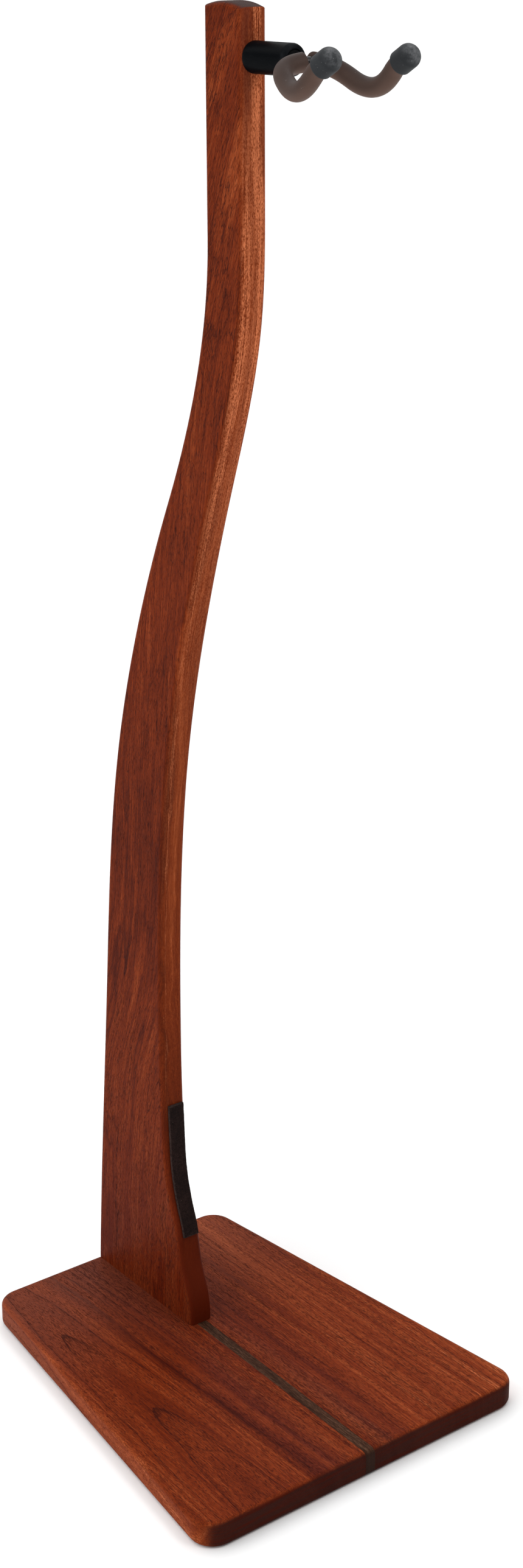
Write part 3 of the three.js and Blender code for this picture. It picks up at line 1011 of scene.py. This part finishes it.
def make_bolt(node):
    """A socket head screw, its head down in the base, threaded at its top."""
    low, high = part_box(node)
    head_radius = (high.x - low.x) / 2
    head_top = low.z + HEAD_HEIGHT
    start = head_top + 0.4 * (high.z - head_top)
    spiral = thread(BOLT_CORE, BOLT_RADIUS, BOLT_PITCH, start, high.z)
    profile = [
        (0.1 * MM, low.z + 3.6 * MM),
        (SOCKET_RADIUS, low.z + 3.2 * MM),
        (SOCKET_RADIUS, low.z + 0.3 * MM),
        (SOCKET_RADIUS + 0.3 * MM, low.z),
        *rounded_corner(head_radius, low.z, 0.6 * MM),
        (head_radius, head_top - 0.3 * MM),
        (head_radius - 0.3 * MM, head_top),
        (BOLT_RADIUS + 0.3 * MM, head_top),
        (BOLT_RADIUS, head_top + 0.3 * MM),
        (BOLT_RADIUS, start - 0.2 * MM),
        *[(BOLT_RADIUS, z) for z in spaced(start, high.z - 0.5 * MM, 190)],
        (BOLT_RADIUS * 0.75, high.z),
    ]

    def shape(radius, distance, angle):
        in_socket = distance < low.z + 3.7 * MM and radius <= SOCKET_RADIUS + 0.31 * MM
        if in_socket and radius > MM:
            return hexagon(radius, angle)
        if start <= distance < high.z - 0.4 * MM:
            return spiral(distance, angle)
        return radius

    mesh = turned(node, profile, floor_point(node), UPWARD, 72, shape=shape)
    piece(node, "screw", mesh, steel, "stand", "steel")


def make_ring(node, ending, axis, bore, chamfer, material, body, slot):
    """A ring with chamfered edges."""
    origin, length, radius = round_node(node, axis)
    profile = ring_profile(bore, radius, 0, length, chamfer)
    mesh = turned(node, profile, origin, axis, 72, closed=True)
    piece(node, ending, mesh, material, body, slot)


def make_insert(node, axis):
    """A threaded insert: coarse thread outside, machine thread inside."""
    origin, length, outer = round_node(node, axis)
    outside = thread(outer * 0.84, outer, 2 * MM, -0.5 * MM, length + 0.5 * MM)
    inside = thread(BOLT_RADIUS + 0.35 * MM, BOLT_RADIUS + 0.05 * MM, BOLT_PITCH, 0, length)
    steps = round(length / (0.16 * MM))
    profile = [(outer, d) for d in spaced(0, length, steps)]
    profile += [(BOLT_RADIUS, d) for d in spaced(length, 0, steps)]

    def shape(radius, distance, angle):
        return outside(distance, angle) if radius == outer else inside(distance, angle)

    mesh = turned(node, profile, origin, axis, 48, closed=True, shape=shape)
    piece(node, "threaded", mesh, brass, "stand", "brass")


def make_stud():
    """The hanger stud: machine thread in the barrel, wood thread in the upright."""
    low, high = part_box("hanger_stud")
    length = high.y - low.y
    face = barrel_high.y - low.y
    machine = thread(BOLT_CORE, BOLT_RADIUS, BOLT_PITCH, 0, face)
    screw = thread(BOLT_RADIUS * 0.68, BOLT_RADIUS, 2.5 * MM, face + 2 * MM, length - 1 * MM)
    profile = [(BOLT_RADIUS, d) for d in spaced(0, length - 2 * MM, 260)]
    profile += [(BOLT_RADIUS * 0.5, length - 1 * MM), (0.2 * MM, length)]

    def shape(radius, distance, angle):
        if radius < BOLT_RADIUS:
            return radius
        if distance < face:
            return machine(distance, angle)
        return screw(distance, angle)

    mesh = turned("stud", profile, (0, low.y, AXIS_Z), BACKWARD, 40, shape=shape)
    piece("hanger_stud", "screw", mesh, steel, "stand", "steel")


# ---- Barrel and bearing ----
def make_barrel():
    insert_low, insert_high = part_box("barrel_insert")
    length = barrel_high.y - BARREL_FRONT
    bore_end = insert_low.y - BARREL_FRONT
    insert_end = insert_high.y - BARREL_FRONT + GAP
    insert_bore = (insert_high.x - insert_low.x) / 2 + GAP
    profile = [
        (BARREL_BORE, 0.5 * MM),
        (BARREL_BORE + 0.2 * MM, 0.15 * MM),
        *rounded_corner(BARREL_RADIUS, 0, BARREL_EDGE, 10),
        *[(BARREL_RADIUS, d) for d in spaced(3 * MM, length - 1 * MM, 12)],
        (BARREL_RADIUS - 0.15 * MM, length - 0.3 * MM),
        (BARREL_RADIUS - 0.6 * MM, length),
        (BOLT_RADIUS + GAP, length),
        (BOLT_RADIUS + GAP, insert_end),
        (insert_bore, insert_end),
        (insert_bore, bore_end),
        (BARREL_BORE, bore_end),
    ]
    mesh = turned("barrel", profile, (0, BARREL_FRONT, AXIS_Z), BACKWARD, 96, closed=True)
    piece("yoke_barrel", "housing", mesh, barrel_plastic(), "stand", "black_plastic")


def make_retaining_ring():
    """A flat snap ring: open at the top, with lobes that grip the groove."""
    low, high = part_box("retaining_ring")
    outer = (high.x - low.x) / 2
    inner = SHAFT_RADIUS - SHAFT_GROOVE + 0.05 * MM
    opening = math.radians(34)
    chamfer = 0.12 * MM
    centre = Vector((0, 0, AXIS_Z))
    sections = []
    for angle in spaced(RIGHT_ANGLE + opening, RIGHT_ANGLE + FULL_TURN - opening, 120):
        spoke = Vector((math.cos(angle), 0, math.sin(angle)))
        lobe = 0.5 - 0.5 * math.cos(3 * (angle - RIGHT_ANGLE))
        inside = inner + 0.9 * MM * (1 - lobe)
        profile = ring_profile(inside, outer, low.y, high.y, chamfer)
        sections.append([centre + BACKWARD * y + spoke * radius for radius, y in profile])
    mesh = skin("snap_ring", sections)
    piece("retaining_ring", "spring", mesh, steel, "yoke", "steel")


# ---- Yoke ----
def arm_point(side, index):
    sideways, forward, up, _ = ARM[index]
    return Vector((side * sideways, BARREL_FRONT - forward, AXIS_Z + up))


def rod_centres(step=0.5 * MM):
    """Points along the whole bent rod, evenly spaced, from the left tip to the right tip."""
    order = [(-1, index) for index in range(len(ARM) - 1, 0, -1)]
    order += [(1, index) for index in range(len(ARM))]
    corners = [arm_point(side, index) for side, index in order]
    turns = [ARM[index][3] for _, index in order]
    dense = [corners[0]]
    for index in range(1, len(corners) - 1):
        corner = corners[index]
        into = corner + (corners[index - 1] - corner).normalized() * turns[index]
        out = corner + (corners[index + 1] - corner).normalized() * turns[index]
        dense.append(into)
        for t in spaced(0, 1, 40)[1:]:
            dense.append(bend(into, corner, out, t))
    dense.append(corners[-1])
    travelled = [0]
    for before, after in zip(dense, dense[1:]):
        travelled.append(travelled[-1] + (after - before).length)
    count = round(travelled[-1] / step)
    made = []
    for distance in spaced(0, travelled[-1], count):
        index = bisect_right(travelled, distance) - 1
        index = min(max(index, 0), len(dense) - 2)
        share = (distance - travelled[index]) / (travelled[index + 1] - travelled[index])
        made.append(dense[index].lerp(dense[index + 1], min(max(share, 0), 1)))
    return made, travelled[-1] / count


rod_line, rod_step = rod_centres()
rod_middle = len(rod_line) // 2


def end_rounding(count, radius, size, spacing):
    """A tube's radius at each of count steps, eased at both ends."""
    radii = []
    for index in range(count):
        near = min(index, count - 1 - index) * spacing
        away = max(0, 1 - near / size)
        radii.append(radius - size * (1 - math.sqrt(1 - away * away)))
    return radii


def make_rod():
    radii = end_rounding(len(rod_line), ROD_RADIUS, 0.6 * MM, rod_step)
    mesh = sweep("rod", rod_line, radii, 28)
    piece("yoke_rod", "bent", mesh, dark_steel, "yoke", "steel")


def make_shaft():
    _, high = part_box("pivot_shaft")
    clip_low, clip_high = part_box("retaining_ring")
    groove = SHAFT_RADIUS - SHAFT_GROOVE
    front = rod_line[rod_middle].y + ROD_RADIUS / 2
    profile = [
        (NECK_RADIUS, front),
        (NECK_RADIUS, front + NECK_LENGTH - 0.4 * MM),
        (NECK_RADIUS + 0.4 * MM, front + NECK_LENGTH),
        (SHAFT_RADIUS - 0.4 * MM, front + NECK_LENGTH),
        (SHAFT_RADIUS, front + NECK_LENGTH + 0.4 * MM),
        (SHAFT_RADIUS, clip_low.y - GAP),
        (groove, clip_low.y - GAP),
        (groove, clip_high.y + GAP),
        (SHAFT_RADIUS, clip_high.y + GAP),
        (SHAFT_RADIUS, high.y - 1 * MM),
        (SHAFT_RADIUS - 1 * MM, high.y),
    ]
    mesh = turned("shaft", profile, (0, 0, AXIS_Z), BACKWARD, 56)
    around = rod_line[rod_middle - 16 : rod_middle + 17]
    cutter = sweep("cope", around, [ROD_RADIUS + 0.05 * MM] * len(around), 40)
    made = cut(mesh, cutter)
    piece("pivot_shaft", "turned", made, dark_steel, "yoke", "steel")


def make_weld():
    """A weld bead round the joint between the shaft and the rod."""
    middle = rod_line[rod_middle]
    rings = []
    count = 96
    bead = 0.45 * MM
    reach = NECK_RADIUS - 0.3 * MM
    for step in range(count):
        angle = FULL_TURN * step / count
        x, z = reach * math.cos(angle), reach * math.sin(angle)
        depth = math.sqrt(max(ROD_RADIUS**2 - z * z, (0.45 * ROD_RADIUS) ** 2))
        centre = Vector((middle.x + x, middle.y + depth + 0.25 * MM, AXIS_Z + z))
        spoke = Vector((math.cos(angle), 0, math.sin(angle)))
        ripple = bead * (0.92 + 0.08 * math.sin(angle * 26))
        rings.append(circle(centre, spoke, BACKWARD, ripple, 14))
    mesh = skin("bead", rings, closed=True, sharp=80)
    made = placed("shaft_weld_bead", mesh)
    mesh.materials.append(dark_steel)
    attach(made, "yoke")


def make_sleeve(name, side, material):
    first = rod_middle + round(SLEEVE_START / rod_step)
    line = rod_line[first:-1]
    if side < 0:
        line = [rod_line[-1 - index] for index in range(first, len(rod_line) - 1)]
    radii = end_rounding(len(line), SLEEVE_RADIUS, 0.7 * MM, rod_step)
    mesh = sweep(name, line, radii, 48, hollow=ROD_RADIUS + 0.05 * MM)
    piece(f"yoke_sleeve_{name}", "tubing", mesh, material, "yoke", "brown_rubber")


def make_cap(name, side, material):
    line = rod_line if side > 0 else rod_line[::-1]
    back = round(CAP_BORE / 2 / rod_step)
    outward = (line[-1] - line[-1 - back]).normalized()
    opening = line[-1] + outward * (GAP - CAP_BORE)
    bore = SLEEVE_RADIUS + 0.05 * MM
    shoulder = CAP_LENGTH - CAP_DOME
    profile = [
        (0.05 * MM, CAP_BORE),
        (bore, CAP_BORE),
        (bore, 0.5 * MM),
        (bore + 0.3 * MM, 0.1 * MM),
        (CAP_RADIUS - 0.75 * MM, 0),
        (CAP_RADIUS - 0.25 * MM, 0.2 * MM),
        (CAP_RADIUS, 0.8 * MM),
        *[(CAP_RADIUS, d) for d in spaced(1.6 * MM, shoulder - 0.5 * MM, 5)],
    ]
    for angle in spaced(0, RIGHT_ANGLE, 22)[:-1]:
        profile.append((CAP_RADIUS * math.cos(angle), shoulder + CAP_DOME * math.sin(angle)))
    profile.append((0.05 * MM, CAP_LENGTH))
    mesh = turned("cap", profile, opening, outward, 64)
    reaches = [(vertex.co - opening).dot(outward) for vertex in mesh.vertices]
    mark(mesh, "tip", [max(0, reach - shoulder) / CAP_DOME for reach in reaches])
    piece(f"end_cap_{name}", "moulded", mesh, material, "yoke", "black_rubber")


# ---- Camera, light and floor ----
CAMERA_PLACE = Vector((-0.94403, -1.28622, 1.0947))
CAMERA_AZIMUTH = math.radians(-37.213)
CAMERA_DOWN = math.radians(20.473)
CAMERA_ROLL = math.radians(-0.186)
CAMERA_LENS = 53.70


def make_camera():
    data = bpy.data.cameras.new("camera")
    data.lens = CAMERA_LENS
    data.sensor_width = 36
    data.clip_start = 0.05
    data.clip_end = 500
    turn = Matrix.Rotation(CAMERA_AZIMUTH, 4, "Z")
    turn = turn @ Matrix.Rotation(RIGHT_ANGLE - CAMERA_DOWN, 4, "X")
    turn = turn @ Matrix.Rotation(CAMERA_ROLL, 4, "Z")
    camera = placed("camera", data)
    camera.matrix_world = Matrix.Translation(CAMERA_PLACE) @ turn
    bpy.context.scene.camera = camera


def make_light(name, kind, strength, source, **settings):
    """A light that shines from the side where source points."""
    data = bpy.data.lights.new(name, kind)
    data.energy = strength
    for setting, value in settings.items():
        setattr(data, setting, value)
    light = placed(name, data)
    light.rotation_mode = "QUATERNION"
    light.rotation_quaternion = Vector(source).to_track_quat("Z", "Y")
    return light


def make_lights():
    """Two broad, even lights from far away, and a softbox for the upper front."""
    make_light("overhead", "SUN", 2.65, (0.08, 0.42, 1.0), angle=math.radians(100))
    make_light("left_side", "SUN", 1.35, (-1.0, 0.1, 0.50), angle=math.radians(60))
    place = Vector((0.45, -0.95, 1.65))
    target = Vector((0, -0.03, 0.9))
    make_light("front_softbox", "AREA", 6.0, place - target, size=0.5).location = place


def make_world():
    """A pale room: white round the horizon, greyer above."""
    world = bpy.data.worlds.new("room")
    bpy.context.scene.world = world
    world.use_nodes = True
    tree = world.node_tree
    background = tree.nodes["Background"]
    coordinates = tree.nodes.new("ShaderNodeTexCoord")
    split = tree.nodes.new("ShaderNodeSeparateXYZ")
    tree.links.new(coordinates.outputs["Generated"], split.inputs[0])
    shade = tree.nodes.new("ShaderNodeMapRange")
    shade.interpolation_type = "SMOOTHSTEP"
    for socket, number in zip(shade.inputs[1:5], (0.04, 0.2, 1.0, 0.22)):
        socket.default_value = number
    tree.links.new(split.outputs[2], shade.inputs["Value"])
    tree.links.new(shade.outputs[0], background.inputs["Strength"])
    background.inputs["Color"].default_value = (1, 1, 1, 1)


def make_floor():
    """White paper just under the stand, out to the horizon."""
    reach = 120
    below = -0.2 * MM
    corners = [(-reach, -reach), (reach, -reach), (reach, reach), (-reach, reach)]
    mesh = bpy.data.meshes.new("floor")
    mesh.from_pydata([(x, y, below) for x, y in corners], [], [(0, 1, 2, 3)])
    floor = placed("floor", mesh)
    mesh.materials.append(floor_paper())


make_camera()
make_world()
make_lights()
make_floor()
bpy.context.scene.view_settings.view_transform = "Standard"

make_base()
make_upright()
make_pad()
for bolt in ("base_bolt_front", "base_bolt_rear"):
    make_bolt(bolt)
for washer in ("base_washer_front", "base_washer_rear"):
    make_ring(washer, "plated", UPWARD, BOLT_RADIUS + GAP, 0.15 * MM, steel, "stand", "steel")
for insert in ("foot_insert_front", "foot_insert_rear"):
    make_insert(insert, UPWARD)
make_insert("barrel_insert", BACKWARD)
make_stud()
make_barrel()
nylon = bearing_plastic()
for bushing in ("front_bushing", "rear_bushing"):
    make_ring(bushing, "bearing", BACKWARD, BEARING_BORE, 0.4 * MM, nylon, "stand", "nylon")
make_ring("thrust_washer", "plated", BACKWARD, BEARING_BORE, 0.12 * MM, steel, "yoke", "steel")
make_retaining_ring()
make_rod()
make_shaft()
make_weld()
tubing = rubber_tubing()
cap_material = cap_rubber()
for name, side in (("left", -1), ("right", 1)):
    make_sleeve(name, side, tubing)
    make_cap(name, side, cap_material)
